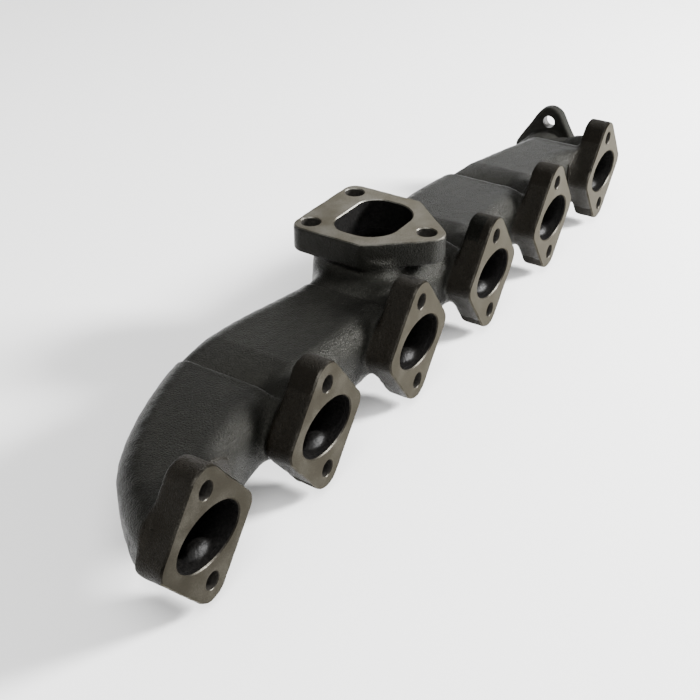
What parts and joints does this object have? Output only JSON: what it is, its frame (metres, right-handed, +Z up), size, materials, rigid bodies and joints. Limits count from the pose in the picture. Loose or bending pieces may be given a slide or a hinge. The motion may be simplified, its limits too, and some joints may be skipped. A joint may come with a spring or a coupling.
{
  "type": "exhaust manifold",
  "caption": "Cast exhaust manifold: hollow log with a row of bolted port flanges, a flat turbocharger flange on top and an EGR outlet flange at one end",
  "frame": {"origin": "on the cylinder head face, midway between ports 3 and 4, at the height of the port centres", "axes": "+X along the engine towards the EGR outlet, +Y away from the cylinder head, +Z up towards the turbocharger flange"},
  "size_m": [0.5235, 0.092, 0.081],
  "materials": {
    "cast_skin": "dark as-cast iron with a fine sand texture",
    "machined_flange": "dark cast edges with a milled grey-brown gasket face"
  },
  "bodies": {
    "root": {"egr_flange": "machined_flange", "egr_neck": "cast_skin", "log_elbow": "cast_skin", "log_end": "cast_skin", "log_section_port_2": "cast_skin", "log_section_port_3": "cast_skin", "log_section_port_4": "cast_skin", "log_section_port_5": "cast_skin", "port_flange_1": "machined_flange", "port_flange_2": "machined_flange", "port_flange_3": "machined_flange", "port_flange_4": "machined_flange", "port_flange_5": "machined_flange", "port_flange_6": "machined_flange", "port_throat_1": "cast_skin", "port_throat_2": "cast_skin", "port_throat_3": "cast_skin", "port_throat_4": "cast_skin", "port_throat_5": "cast_skin", "port_throat_6": "cast_skin", "turbo_collector": "cast_skin", "turbo_flange": "machined_flange"}
  },
  "joints": []
}
